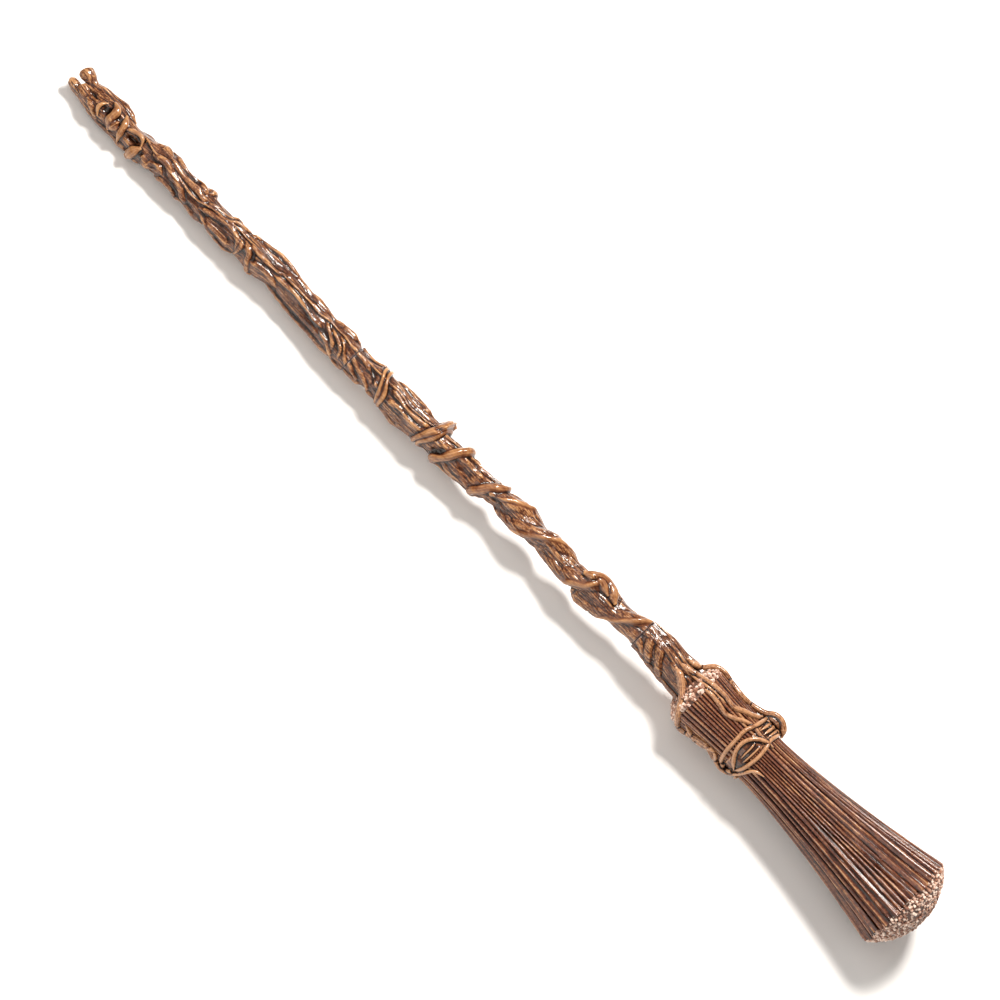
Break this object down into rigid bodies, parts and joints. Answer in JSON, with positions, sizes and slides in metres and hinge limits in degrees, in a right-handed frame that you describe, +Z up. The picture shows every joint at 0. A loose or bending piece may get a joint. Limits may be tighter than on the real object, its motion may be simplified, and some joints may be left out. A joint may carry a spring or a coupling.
{
  "type": "stage broomstick",
  "caption": "Moulded witch's broomstick prop with a forked tip, a twisted vine-wound stick and a flared bristle head, pulling apart into equal lengths.",
  "frame": {"origin": "On the floor, under the middle of the broomstick as it lies at rest on the rim of its bristles and on a vine near its tip.", "axes": "+X from the forked tip towards the bristle end, +Z up, +Y to the back half shells. The stick itself rises by 1.9 degrees towards +X."},
  "size_m": [1.0994, 0.0998, 0.1012],
  "materials": {
    "bark": "dark brown paint dry-brushed bronze on the high spots, under gloss lacquer",
    "vines": "dark brown paint dry-brushed bronze, under gloss lacquer",
    "bristles": "reddish-brown paint, satin to gloss",
    "cut_ends": "pale beige paint on the cut bristle ends",
    "plug": "unpainted moulded plastic"
  },
  "bodies": {
    "head": {"head_socket": "plug", "neck_shell_front": "bark", "neck_shell_back": "bark", "bristle_shell_front": "bristles", "bristle_shell_back": "bristles", "shoulder_ring": "cut_ends", "core_hub": "plug", "end_cap": "cut_ends", "vine_cage_front": "vines", "vine_cage_back": "vines"},
    "middle": {"middle_shell_front": "bark", "middle_shell_back": "bark", "middle_socket": "plug", "middle_plug": "plug"},
    "tip": {"tip_shell_front": "bark", "tip_shell_back": "bark", "tip_plug": "plug"}
  },
  "joints": [
    {"name": "middle_pulls_off", "type": "slide", "parent": "head", "child": "middle", "axis": [-0.9995, 0, -0.0325], "range_m": [0, 0.046]},
    {"name": "tip_pulls_off", "type": "slide", "parent": "middle", "child": "tip", "axis": [-0.9995, 0, -0.0325], "range_m": [0, 0.046]}
  ]
}
